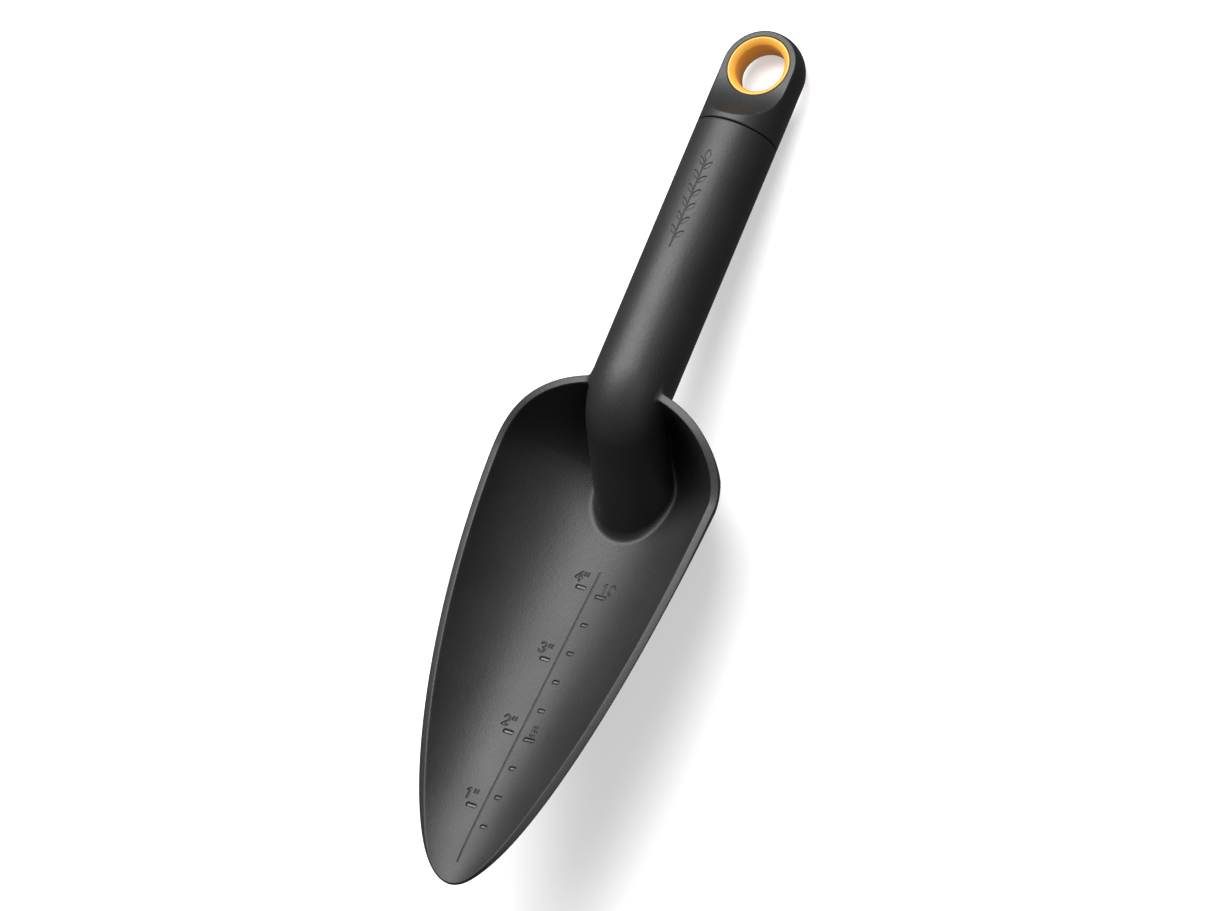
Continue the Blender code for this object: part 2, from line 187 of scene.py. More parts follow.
# Mesh spacing
FINE = 0.2                # along the scoop and the grip, where something is pressed in
COARSE = 0.4              # along the scoop elsewhere
BAND = 8.6                # half width of the fine strip that carries the scale
BAND_SPREAD = 0.6         # how much of the width the strip takes near the tip
BAND_COLUMNS = 104
SIDE_START = 0.27         # column spacing beside the strip, as a share of the mean
SIDE_COLUMNS = 46
OUTSIDE_COLUMNS = 110
TIP_ROWS = 30
TIP_ROWS_WIDTH = 8.8      # half width of the scoop where the tip's rows end
ROUND_STEPS = 4
NET_STEP = 0.3
FILLET_TURNS = 14
SMOOTHING_TURNS = 9


# ---------------------------------------------------------------- frame

def to_row():
    """Matrix from the grip frame in millimetres to the row frame in metres."""
    axis = frame["record"]["mounts"][0]["axis"]
    tilt = math.atan2(axis[0], axis[2])
    low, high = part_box("hang_ring")
    turn = Matrix.Rotation(tilt, 4, "Y")
    to_ring = Matrix.Translation((low + high) / 2)
    return to_ring @ turn @ Matrix.Scale(MM, 4) @ Matrix.Translation((-RING_X, 0, 0))


TO_ROW = to_row()


def new_mesh_object(name, points, faces):
    """Linked object from points and faces, either of them a list or an array."""
    if isinstance(faces, np.ndarray):
        faces = faces.tolist()
    mesh = bpy.data.meshes.new(name)
    mesh.from_pydata(np.asarray(points).tolist(), [], faces)
    mesh.update()
    obj = bpy.data.objects.new(name, mesh)
    bpy.context.scene.collection.objects.link(obj)
    return obj


def weld(obj):
    """Merges coinciding points, turns all faces outward and splits them into triangles."""
    bm = bmesh.new()
    bm.from_mesh(obj.data)
    bmesh.ops.remove_doubles(bm, verts=bm.verts, dist=WELD_DISTANCE)
    bmesh.ops.recalc_face_normals(bm, faces=bm.faces)
    bmesh.ops.triangulate(bm, faces=bm.faces, quad_method="FIXED")
    bm.to_mesh(obj.data)
    bm.free()


def combine(target, tool, operation):
    """Boolean of two closed meshes, kept as the target's own mesh."""
    modifier = target.modifiers.new(operation, "BOOLEAN")
    modifier.operation = operation
    modifier.object = tool
    modifier.solver = "MANIFOLD"
    evaluated = target.evaluated_get(bpy.context.evaluated_depsgraph_get())
    mesh = bpy.data.meshes.new_from_object(evaluated)
    old = target.data
    target.modifiers.clear()
    target.data = mesh
    bpy.data.meshes.remove(old)
    tool_mesh = tool.data
    bpy.data.objects.remove(tool)
    bpy.data.meshes.remove(tool_mesh)


def finish_piece(obj, node, material):
    """Turns a piece into the row frame and lets it stand for its CAD node."""
    obj.data.transform(TO_ROW)
    obj.data.shade_smooth()
    obj.data.materials.clear()
    obj.data.materials.append(material)
    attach(obj, "root")
    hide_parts(node)


def positions(mesh):
    flat = np.empty(len(mesh.vertices) * 3)
    mesh.vertices.foreach_get("co", flat)
    return flat.reshape(-1, 3)


# ---------------------------------------------------------------- scoop

def half_width(u):
    u = np.asarray(u, float)
    ahead = np.sqrt(np.maximum(u * (TIP_ROUND - SIDE_DRAW * u * u), 0.0))
    widest = math.sqrt(SHOULDER * (TIP_ROUND - SIDE_DRAW * SHOULDER ** 2))
    t = np.clip((u - SHOULDER) / HEEL_RUN, 0.0, 1.0)
    buried = SCOOP_END_WIDTH + SCOOP_END_TAPER * (SCOOP_END - u)
    return np.where(u <= SHOULDER, ahead, np.maximum(widest * np.sqrt(1.0 - t * t), buried))


def rim_height(u):
    u = np.asarray(u, float)
    ahead = TIP_Z + SIDE_RISE * (1.0 - np.maximum(1.0 - u / SHOULDER, 0.0) ** SIDE_RISE_POWER)
    t = np.clip((u - SHOULDER) / HEEL_RUN, 0.0, 1.0)
    return ahead + HEEL_RISE * np.sin(math.pi / 2 * t) ** HEEL_RISE_POWER


def floor_height(u):
    return FLOOR_START - u * math.tan(FLOOR_SLOPE) - TIP_DIP * np.maximum(1.0 - u / TIP_DIP_RUN, 0.0) ** 2


def wall_at(u):
    return TIP_WALL + (WALL - TIP_WALL) * np.clip(np.asarray(u) / TIP_WALL_RUN, 0.0, 1.0)


def fillet(corner, angle_in, angle_out, radius, count):
    """Points of an arc that rounds the corner between two directions in the side view."""
    turn = angle_out - angle_in
    side = math.copysign(1.0, turn)
    reach = radius * math.tan(abs(turn) / 2)
    start = np.array(corner) - reach * np.array([math.cos(angle_in), math.sin(angle_in)])
    centre = start + side * radius * np.array([-math.sin(angle_in), math.cos(angle_in)])
    angles = angle_in + turn * np.linspace(0.0, 1.0, count)
    return centre + side * radius * np.stack([np.sin(angles), -np.cos(angles)], axis=1)


def belly_profile():
    """Outside centre line of the scoop: belly, round corner, heel, round corner, underside of the grip."""
    back = NECK_R + HEEL_BEHIND_NECK
    slope = math.tan(NECK_ANGLE)
    through_u = CORNER_X - TIP_X + back * math.sin(NECK_ANGLE)
    through_z = -back * math.cos(NECK_ANGLE)
    belly_z = FLOOR_START - WALL / math.cos(FLOOR_SLOPE)
    low_u = (slope * through_u - through_z + belly_z) / (slope + math.tan(FLOOR_SLOPE))
    low = (low_u, belly_z - low_u * math.tan(FLOOR_SLOPE))
    under_z = SCOOP_END_RISE - GRIP_R_AT_BEND
    high = (through_u + (under_z - through_z) / slope, under_z)
    belly = fillet(low, -FLOOR_SLOPE, NECK_ANGLE, HEEL_ROUND, 160)
    armpit = fillet(high, NECK_ANGLE, 0.0, ARMPIT_ROUND, 100)
    u = np.arange(0.0, belly[0, 0] - 0.1, 0.1)
    ahead = np.stack([u, floor_height(u) - wall_at(u) / math.cos(FLOOR_SLOPE)], axis=1)
    return np.concatenate([ahead, belly, armpit, [(SCOOP_END + 2.0, under_z)]])


PROFILE = belly_profile()


def low_line(u):
    return np.interp(u, PROFILE[:, 0], PROFILE[:, 1])


def section_shape(u):
    """Half width, low line, depth and side angle of the section at a station."""
    width = half_width(u)
    low = low_line(u)
    drop = TIP_WALL * np.maximum(1.0 - u / TIP_EDGE_RUN, 0.0) ** 2
    depth = np.maximum(rim_height(u) - drop - low, MIN_DEPTH)
    angle = np.minimum(2.0 * np.arctan2(depth, np.maximum(width, MIN_WIDTH)), MAX_SIDE_ANGLE)
    return width, low, depth, angle


def section(u, share):
    """Point of the outside skin at a station, share from -1 to 1 across it."""
    width, low, depth, angle = section_shape(u)
    a = share * angle
    y = width * np.sin(a) / np.sin(angle)
    z = low + depth * (1.0 - np.cos(a)) / (1.0 - np.cos(angle))
    return np.stack(np.broadcast_arrays(TIP_X + u, y, z), axis=-1)


def skin(u, share):
    """Outside point and normal towards the hollow; rows bow forward near the tip."""
    u, share = np.broadcast_arrays(np.asarray(u, float), share)
    width, _, _, angle = section_shape(u)
    y = width * np.sin(share * angle) / np.sin(angle)
    x = u + BOW * np.maximum(1.0 - u / BOW_RUN, 0.0) ** 2 * (1.0 - share ** 2)
    width, _, _, angle = section_shape(x)
    across = np.arcsin(np.clip(y * np.sin(angle) / np.maximum(width, 1e-9), -1.0, 1.0)) / angle
    point = section(x, across)
    step = 0.1
    base = np.maximum(x, 0.15)
    tangent_u = section(base + step, across) - section(base - step, across)
    tangent_v = section(base, across + 1e-3) - section(base, across - 1e-3)
    normal = np.cross(tangent_u, tangent_v)
    return point, normal / np.linalg.norm(normal, axis=-1, keepdims=True)


def arc(centre, size, start, end, count=14):
    """Points of an elliptical arc, angles in degrees."""
    angles = np.radians(np.linspace(start, end, count))
    return [(centre[0] + size[0] * math.cos(a), centre[1] + size[1] * math.sin(a)) for a in angles]


# Strokes of the scale's numbers, in digit heights from the lower left corner
DIGITS = {
    "0": [arc((0.28, 0.5), (0.26, 0.44), 0.0, 360.0, 25)],
    "1": [[(0.02, 0.78), (0.22, 0.94), (0.22, 0.06)]],
    "2": [arc((0.28, 0.68), (0.24, 0.26), 165.0, -35.0) + [(0.04, 0.06), (0.54, 0.06)]],
    "3": [arc((0.27, 0.72), (0.22, 0.22), 150.0, -85.0), arc((0.27, 0.28), (0.25, 0.22), 85.0, -150.0)],
    "4": [[(0.46, 0.06), (0.46, 0.94), (0.04, 0.34), (0.6, 0.34)]],
    "5": [[(0.5, 0.94), (0.12, 0.94), (0.08, 0.52)], arc((0.27, 0.33), (0.25, 0.26), 130.0, -145.0)],
    '"': [[(0.02, 0.94), (0.02, 0.68)], [(0.28, 0.94), (0.28, 0.68)]],
}
ADVANCE = {"1": 0.62, '"': 0.4}
PLAIN_ADVANCE = 0.74


def stroke_distance(u, y, points):
    """Distance to a polyline of (u, y) points."""
    nearest = np.full(u.shape, np.inf)
    for (u0, y0), (u1, y1) in zip(points, points[1:]):
        du, dy = u1 - u0, y1 - y0
        t = np.clip(((u - u0) * du + (y - y0) * dy) / (du * du + dy * dy), 0.0, 1.0)
        nearest = np.minimum(nearest, np.hypot(u - u0 - t * du, y - y0 - t * dy))
    return nearest


def box_distance(u, y, centre, half, corner=0.0):
    over_u = np.abs(u - centre[0]) - half[0] + corner
    over_y = np.abs(y - centre[1]) - half[1] + corner
    outside = np.hypot(np.maximum(over_u, 0.0), np.maximum(over_y, 0.0))
    return outside + np.minimum(np.maximum(over_u, over_y), 0.0) - corner


def tick_place(along_floor):
    return along_floor * math.cos(FLOOR_SLOPE) + SCALE_SHIFT


def press(distance):
    """1 inside a cut and 0 outside, with a short slope at its edge."""
    t = np.clip(0.5 - distance / (2 * CUT_EDGE), 0.0, 1.0)
    return t * t * (3.0 - 2.0 * t)


def label_distance(u, y, text, left, baseline):
    """Distance to the strokes of a number that reads with the tip at the bottom."""
    nearest = np.full(u.shape, np.inf)
    for letter in text:
        for stroke in DIGITS[letter]:
            points = [(baseline + DIGIT_HEIGHT * v, left - DIGIT_HEIGHT * h) for h, v in stroke]
            nearest = np.minimum(nearest, stroke_distance(u, y, points))
        left -= DIGIT_HEIGHT * ADVANCE.get(letter, PLAIN_ADVANCE)
    return nearest


def scale_cut(u, y):
    """Depth of the scale as a share of the full cut, at plan distances u from the tip and y across."""
    middle = (LINE_FROM + LINE_TO) / 2
    line = box_distance(u, y, (middle, 0.0), ((LINE_TO - LINE_FROM) / 2, LINE_WIDTH / 2))
    bars = np.full(u.shape, np.inf)
    for number in range(2, 11):
        length = LONG_TICK if number in (5, 10) else SHORT_TICK
        centre = (tick_place(10.0 * number), -TICK_START - length / 2)
        bars = np.minimum(bars, box_distance(u, y, centre, (TICK_WIDTH / 2, length / 2), TICK_CORNER))
    digits = np.full(u.shape, np.inf)
    for number in range(1, 5):
        place = tick_place(INCH * number)
        centre = (place, TICK_START + INCH_TICK / 2)
        bars = np.minimum(bars, box_distance(u, y, centre, (TICK_WIDTH / 2, INCH_TICK / 2), TICK_CORNER))
        label = label_distance(u, y, f'{number}"', INCH_LABEL_LEFT, place + INCH_LABEL_FOOT)
        digits = np.minimum(digits, label)
    for text, left in CM_LABELS.items():
        foot = tick_place(10.0 * int(text)) + CM_LABEL_FOOT
        digits = np.minimum(digits, label_distance(u, y, text, left, foot))
    fine_strokes = np.minimum(line, digits - DIGIT_STROKE / 2)
    return np.maximum(press(bars), STROKE_DEPTH * press(fine_strokes))


def shell_rows():
    """Stations from the tip to the buried end: even steps of outline at the tip, fine at the scale."""
    tip = np.linspace(0.0, TIP_ROWS_WIDTH, TIP_ROWS) ** 2 / TIP_ROUND
    scale = np.arange(tip[-1] + FINE, LINE_TO + 1.5, FINE)
    heel = np.arange(scale[-1] + COARSE, HEEL_RUN + SHOULDER + 1.0, COARSE)
    return np.concatenate([tip, scale, heel, np.linspace(heel[-1], SCOOP_END, 6)[1:]])


def grid_faces(index, flip=False):
    """Quads of a grid of vertex numbers."""
    corners = [index[:-1, :-1], index[:-1, 1:], index[1:, 1:], index[1:, :-1]]
    quads = np.stack(corners, axis=-1).reshape(-1, 4)
    return quads[:, ::-1] if flip else quads


def inside_limit(rows, share):
    """Share at which the inside skin reaches the height of the rim."""
    target = rim_height(rows)

    def top(share):
        point, normal = skin(rows, share)
        return point[..., 2] + normal[..., 2] * wall_at(point[..., 0] - TIP_X)

    step = 0.01
    for _ in range(8):
        slope = np.maximum((top(share) - top(share - step)) / step, 2.0)
        share = np.clip(share - (top(share) - target) / slope, 0.3, 1.0)
    return share


def speed_at(rows, share):
    """Millimetres of skin per unit of share."""
    step = 0.01
    return np.linalg.norm(skin(rows, share)[0] - skin(rows, share - step)[0], axis=-1) / step


def rounded_corner(start, corner, end):
    """Points of a short curve that rounds a corner, its ends included."""
    t = np.linspace(0.0, 1.0, ROUND_STEPS + 1)[:, None, None]
    return (1.0 - t) ** 2 * start + 2.0 * t * (1.0 - t) * corner + t * t * end


def rim_strip(outer_border, outer_corner, inner_corner, inner_border):
    """Flat rim with rounded edges, one profile for every row, without the two skins' own borders."""
    across = inner_corner - outer_corner
    width = np.linalg.norm(across, axis=-1, keepdims=True)
    step = across / width * np.minimum(RIM_ROUND, 0.4 * width)
    outer = rounded_corner(outer_border, outer_corner, outer_corner + step)[1:]
    inner = rounded_corner(inner_corner - step, inner_corner, inner_border)[:-1]
    return np.concatenate([outer, inner]).transpose(1, 0, 2)


def make_shell():
    """Closed shell of the scoop with its rounded rim and the scale pressed into its floor."""
    rows = shell_rows()[:, None]
    width, _, _, angle = section_shape(rows)
    limit = 1.0 - RIM_ROUND / speed_at(rows, np.ones_like(rows))
    level = RIM_LEVEL * np.clip((rows - RIM_LEVEL_START) / RIM_LEVEL_RUN, 0.0, 1.0)
    corner_share = 1.0 - level * (1.0 - inside_limit(rows, limit))
    inner_limit = corner_share - RIM_ROUND / speed_at(rows, corner_share)

    outer_share = np.linspace(-1.0, 1.0, OUTSIDE_COLUMNS + 1)[None, :] * limit
    outer, outer_normal = skin(rows, outer_share)

    band = BAND * np.tanh(BAND_SPREAD * np.maximum(width, MIN_WIDTH) / BAND)
    band_share = np.arcsin(band * np.sin(angle) / np.maximum(width, MIN_WIDTH)) / angle
    middle = np.linspace(-1.0, 1.0, BAND_COLUMNS + 1)[None, :] * band_share
    t = np.linspace(0.0, 1.0, SIDE_COLUMNS + 1)[None, 1:]
    side = band_share + (inner_limit - band_share) * (SIDE_START * t + (1.0 - SIDE_START) * t * t)
    inner_share = np.concatenate([-side[:, ::-1], middle, side], axis=1)
    base, inner_normal = skin(rows, inner_share)
    wall = wall_at(base[..., 0] - TIP_X)[..., None]
    inner = base + inner_normal * wall
    cut = scale_cut(inner[..., 0] - TIP_X, inner[..., 1])
    inner = inner - inner_normal * (CUT_DEPTH * cut)[..., None]

    verts = [outer.reshape(-1, 3), inner.reshape(-1, 3)]
    outer_index = np.arange(outer[..., 0].size).reshape(outer.shape[:2])
    inner_index = outer_index.size + np.arange(inner[..., 0].size).reshape(inner.shape[:2])
    faces = [grid_faces(outer_index), grid_faces(inner_index, flip=True)]
    start = outer_index.size + inner_index.size
    end_loop = {}
    for column, sign in ((0, -1.0), (-1, 1.0)):
        outer_corner, _ = skin(rows[:, 0], np.full(len(rows), sign))
        inner_corner, normal = skin(rows[:, 0], sign * corner_share[:, 0])
        inner_corner = inner_corner + normal * wall_at(inner_corner[:, 0] - TIP_X)[:, None]
        strip = rim_strip(outer[:, column], outer_corner, inner_corner, inner[:, column])
        index = start + np.arange(strip[..., 0].size).reshape(strip.shape[:2])
        start += index.size
        verts.append(strip.reshape(-1, 3))
        borders = outer_index[:, column][:, None], inner_index[:, column][:, None]
        full = np.concatenate([borders[0], index, borders[1]], axis=1)
        faces.append(grid_faces(full, flip=sign < 0))
        end_loop[sign] = full[-1]
    loop = list(outer_index[-1]) + list(end_loop[1.0][1:-1]) + list(inner_index[-1][::-1])
    loop += list(end_loop[-1.0][1:-1][::-1])
    verts = np.concatenate(verts)
    end_face = [int(i) for i in loop]
    obj = new_mesh_object("shell", verts, np.concatenate(faces).tolist() + [end_face])
    weld(obj)
    return obj


# ---------------------------------------------------------------- grip and neck

def leaf_distance(x, y, base_x, base_y, lean, length, width):
    """Rough distance to a pointed leaf that starts at a base point."""
    dx, dy = x - base_x, y - base_y
    along = dx * math.cos(lean) + dy * math.sin(lean)
    across = -dx * math.sin(lean) + dy * math.cos(lean)
    half = width * np.sin(np.pi * np.clip(along / length, 0.0, 1.0)) ** 0.8
    ends = np.maximum(-along, along - length)
    return np.maximum(np.abs(across) - half, ends)


def sprig_press(x, y):
    """Share of the sprig's depth at x along the grip and y around it."""
    first_pair = SPRIG_FROM + 0.8 * 0.12 * (SPRIG_TO - SPRIG_FROM)
    nearest = box_distance(x, y, ((SPRIG_FROM + SPRIG_TO - LEAF_LENGTH) / 2, 0.0),
                           ((SPRIG_TO - SPRIG_FROM - LEAF_LENGTH) / 2, STEM_HALF_WIDTH))
    for pair in range(LEAF_PAIRS):
        base = first_pair + pair * PAIR_STEP
        for side in (-1.0, 1.0):
            start = base + (PAIR_STAGGER if side > 0 else 0.0)
            nearest = np.minimum(nearest, leaf_distance(x, y, start, 0.25 * side, side * LEAF_LEAN,
                                                        LEAF_LENGTH + 0.9, LEAF_WIDTH * 0.75))
    top = SPRIG_TO - LEAF_LENGTH - 1.0
    nearest = np.minimum(nearest, leaf_distance(x, y, top, 0.0, 0.0, LEAF_LENGTH + 1.0, LEAF_WIDTH))
    return press(nearest)


def ring_angles():
    """Directions round the grip, closer together along the top where the sprig is."""
    top = math.radians(17.0)
    fine = math.pi + np.linspace(-top, top, 91)
    rest = math.pi + np.linspace(top, 2 * math.pi - top, 170)[1:-1]
    return np.concatenate([fine, rest])


def tube_ring(centre_x, centre_z, direction, radius, angles):
    up = radius * np.cos(angles)
    return np.stack([centre_x - up * math.sin(direction), radius * np.sin(angles),
                     centre_z + up * math.cos(direction)], axis=-1)


def bend_stations(start_r, end_r, count):
    stations = []
    for t in np.linspace(0.0, 1.0, count):
        angle = NECK_ANGLE * t
        x = BEND_X - BEND_R * math.sin(angle)
        z = -BEND_R * (1.0 - math.cos(angle))
        stations.append((x, z, math.pi + angle, start_r + (end_r - start_r) * t))
    return stations


def tube_mesh(name, rings):
    """Closed tube from rings of equal length, with a fan at both ends."""
    rings = np.array(rings)
    count, sides = rings.shape[:2]
    index = np.arange(count * sides).reshape(count, sides)
    index = np.concatenate([index, index[:, :1]], axis=1)
    verts = np.concatenate([rings.reshape(-1, 3), [rings[0].mean(axis=0)], [rings[-1].mean(axis=0)]])
    faces = grid_faces(index).tolist()
    first, last = count * sides, count * sides + 1
    for k in range(sides):
        faces.append([first, int(index[0, k + 1]), int(index[0, k])])
        faces.append([last, int(index[-1, k]), int(index[-1, k + 1])])
    obj = new_mesh_object(name, verts, faces)
    weld(obj)
    return obj


def buried_skin():
    """Middle of the scoop wall, where the neck ends."""
    rows = np.linspace(60.0, SCOOP_END, 220)[:, None]
    point, normal = skin(rows, np.linspace(-1.0, 1.0, 81)[None, :])
    middle = point + normal * WALL / 2
    index = np.arange(middle[..., 0].size).reshape(middle.shape[:2])
    return BVHTree.FromPolygons(middle.reshape(-1, 3).tolist(), grid_faces(index, flip=True).tolist())


def make_grip(tree):
    """Outside of the grip, bend and neck down into the wall of the scoop, with the sprig pressed in."""
    angles = ring_angles()
    rings = []
    for a in np.radians(np.linspace(90.0, 0.0, ROUND_STEPS + 1)):
        edge_x = -EDGE * (1 - math.sin(a))
        rings.append(tube_ring(edge_x, 0.0, math.pi, GRIP_R - EDGE * (1 - math.cos(a)), -angles))
    straight = np.concatenate([np.arange(-1.0, SPRIG_TO + 2.0, -0.9),
                               np.arange(SPRIG_TO + 1.0, SPRIG_FROM - 1.0, -FINE),
                               np.arange(SPRIG_FROM - 1.2, BEND_X + 0.3, -0.8)])
    for x in straight:
        radius = GRIP_R + (GRIP_R_AT_BEND - GRIP_R) * x / BEND_X
        around = (angles - math.pi) * radius
        depth = SPRIG_DEPTH * sprig_press(np.full(angles.shape, x), around)
        rings.append(tube_ring(x, 0.0, math.pi, radius - depth, -angles))
    for x, z, direction, radius in bend_stations(GRIP_R_AT_BEND, NECK_R, 44):
        rings.append(tube_ring(x, z, direction, radius, -angles))
    top = rings[-1]
    down = Vector((math.cos(direction), 0.0, math.sin(direction)))

    def foot(share):
        ring = tube_ring(x, z, direction, radius * share, -angles)
        return np.array([tree.ray_cast(Vector(point), down)[0] for point in ring])

    bottom = foot(1.0)
    for t in np.linspace(0.0, 1.0, 70)[1:]:
        rings.append(top + (bottom - top) * t)
    for share in (0.9, 0.7, 0.5, 0.3, 0.1):
        rings.append(foot(share))
    return tube_mesh("grip", rings)


def make_cavity():
    """Hollow of the grip, open at the cap end, with a groove for the bead of the cap."""
    angles = np.linspace(0.0, 2 * math.pi, 97)[:-1]
    groove = BEAD_R + SEAM
    deep = CAVITY_R + BEAD_R
    straight = [(5.0, CAVITY_R), (BEAD_X + 2 * groove, CAVITY_R), (BEAD_X + groove, deep),
                (BEAD_X - groove, deep), (BEAD_X - 2 * groove, CAVITY_R)]
    rings = [tube_ring(x, 0.0, math.pi, radius, -angles) for x, radius in straight]
    for x, z, direction, radius in bend_stations(CAVITY_R, NECK_CAVITY_R, 16):
        rings.append(tube_ring(x, z, direction, radius, -angles))
    for a in np.radians(np.linspace(0.0, 85.0, 10)):
        run = CAVITY_IN_NECK + radius * math.sin(a)
        rings.append(tube_ring(x + run * math.cos(direction), z + run * math.sin(direction), direction,
                               radius * math.cos(a), -angles))
    return tube_mesh("cavity", rings)


def tube_distance(points):
    """Distance to the outside of the grip, bend and neck, and the direction away from it."""
    x, y, z = points.T
    from_x, from_z = x - BEND_X, z + BEND_R
    turn = np.clip(np.arctan2(-from_x, from_z), 0.0, NECK_ANGLE)
    axis_x = BEND_X - BEND_R * np.sin(turn)
    axis_z = -BEND_R * (1.0 - np.cos(turn))
    run = (x - axis_x) * -np.cos(turn) + (z - axis_z) * -np.sin(turn)
    run = np.where((turn <= 0.0) | (turn >= NECK_ANGLE), run, 0.0)
    axis_x = axis_x - run * np.cos(turn)
    axis_z = axis_z - run * np.sin(turn)
    away = np.stack([x - axis_x, y, z - axis_z], axis=1)
    reach = np.linalg.norm(away, axis=1)
    radius = GRIP_R_AT_BEND + (NECK_R - GRIP_R_AT_BEND) * turn / NECK_ANGLE
    radius = np.where(turn <= 0.0, GRIP_R + (GRIP_R_AT_BEND - GRIP_R) * x / BEND_X, radius)
    return reach - radius, away / reach[:, None]


def shell_distance(points, tree):
    """Distance to the skin of the scoop and the direction away from it."""
    distance = np.empty(len(points))
    away = np.empty((len(points), 3))
    for i, point in enumerate(points):
        place, normal, _, _ = tree.find_nearest(Vector(point))
        step = Vector(point) - place
        length = step.length
        side = 1.0 if step.dot(normal) >= 0.0 else -1.0
        distance[i] = side * length
        away[i] = side * step / length if length > 0.02 else normal
    return distance, away


def fillet_radius(points):
    """Small at the rim and outside, larger down in the hollow."""
    u = points[:, 0] - TIP_X
    below = np.clip((rim_height(u) - points[:, 2]) / FILLET_FADE, 0.0, 1.0)
    inside = np.clip((points[:, 2] - low_line(u) - WALL) / WALL + 0.5, 0.0, 1.0)
    hollow = points[:, 0] < CORNER_X
    blend = below * below * (3.0 - 2.0 * below) * inside * hollow
    return RIM_FILLET + (FLOOR_FILLET - RIM_FILLET) * blend


def hollow_side(points, middle):
    """True for points on the hollow side of the middle of the scoop wall."""
    answer = np.empty(len(points), bool)
    for i, point in enumerate(points):
        place, normal, _, _ = middle.find_nearest(Vector(point))
        answer[i] = (Vector(point) - place).dot(normal) > 0.0
    return answer


def round_joint(obj, tree, middle):
    """Fillet where the neck meets the scoop."""
    bm = bmesh.new()
    bm.from_mesh(obj.data)
    bmesh.ops.triangulate(bm, faces=bm.faces, ngon_method="BEAUTY")
    near_joint = FLOOR_FILLET + 1.2

    def joint_verts():
        verts = list(bm.verts)
        points = np.array([v.co for v in verts])
        tube, _ = tube_distance(points)
        near_neck = (points[:, 0] < BEND_X + 12.0) & (points[:, 0] > -130.0)
        picked = np.flatnonzero((tube > -1.0) & (tube < near_joint) & near_neck)
        shell, _ = shell_distance(points[picked], tree)
        picked = picked[np.abs(shell) < near_joint]
        return [verts[i] for i in picked]

    chosen = joint_verts()
    spot = {v: i for i, v in enumerate(chosen)}
    points = np.array([v.co for v in chosen])
    pairs = []
    outside = []
    for i, v in enumerate(chosen):
        for e in v.link_edges:
            other = e.other_vert(v)
            if other in spot:
                pairs.append((i, spot[other]))
            else:
                outside.append(i)
    pairs = np.array(pairs)
    free = (points[:, 2] > ARMPIT_LOW) | hollow_side(points, middle)
    free[outside] = False
    degree = np.bincount(pairs[:, 0], minlength=len(chosen))[:, None]
    for turn in range(FILLET_TURNS):
        tube, tube_away = tube_distance(points)
        shell, shell_away = shell_distance(points, tree)
        radius = fillet_radius(points)
        short_tube = np.maximum(radius - tube, 0.0)
        short_shell = np.maximum(radius - shell, 0.0)
        reach = np.hypot(short_tube, short_shell)
        active = free & (short_tube > 0.0) & (short_shell > 0.0)
        value = radius - reach
        slope = short_tube[:, None] * tube_away + short_shell[:, None] * shell_away
        slope = slope / np.maximum(reach, 1e-6)[:, None]
        size = np.maximum((slope * slope).sum(axis=1), 0.2)
        moved = points - slope * (value / size)[:, None]
        points = np.where(active[:, None], moved, points)
        if turn < SMOOTHING_TURNS:
            mean = np.zeros_like(points)
            np.add.at(mean, pairs[:, 0], points[pairs[:, 1]])
            mean /= np.maximum(degree, 1)
            points = np.where(active[:, None], points + 0.5 * (mean - points), points)
    for v, point in zip(chosen, points):
        v.co = point
    bm.to_mesh(obj.data)
    bm.free()


def mark_cuts(obj):
    """Stores how deep the scale is cut at each vertex, for a glossier finish inside the cuts."""
    points = positions(obj.data)
    u = points[:, 0] - TIP_X
    inside = points[:, 2] > low_line(u) + 0.3 * WALL
    along = (u > LINE_FROM - 3.0) & (u < LINE_TO + 2.0)
    floor = inside & along & (np.abs(points[:, 1]) < BAND)
    cut = np.zeros(len(points))
    cut[floor] = scale_cut(u[floor], points[floor, 1])
    attribute = obj.data.attributes.new("cut", "FLOAT", "POINT")
    attribute.data.foreach_set("value", cut)


def make_scoop_and_grip():
    """Scoop, neck and grip as one hollow moulding."""
    shell = make_shell()
    faces = [tuple(face.vertices) for face in shell.data.polygons]
    tree = BVHTree.FromPolygons(positions(shell.data).tolist(), faces)
    middle = buried_skin()
    combine(shell, make_grip(middle), "UNION")
    combine(shell, make_cavity(), "DIFFERENCE")
    round_joint(shell, tree, middle)
    mark_cuts(shell)
    shell.name = "trowel_body"
    return shell


# ---------------------------------------------------------------- end cap and ring

def rounded_max(a, b, radius):
    """Meeting of two solids with a rounded edge."""
    reach = np.hypot(np.maximum(a + radius, 0.0), np.maximum(b + radius, 0.0))
    return np.minimum(np.maximum(a, b), -radius) + reach


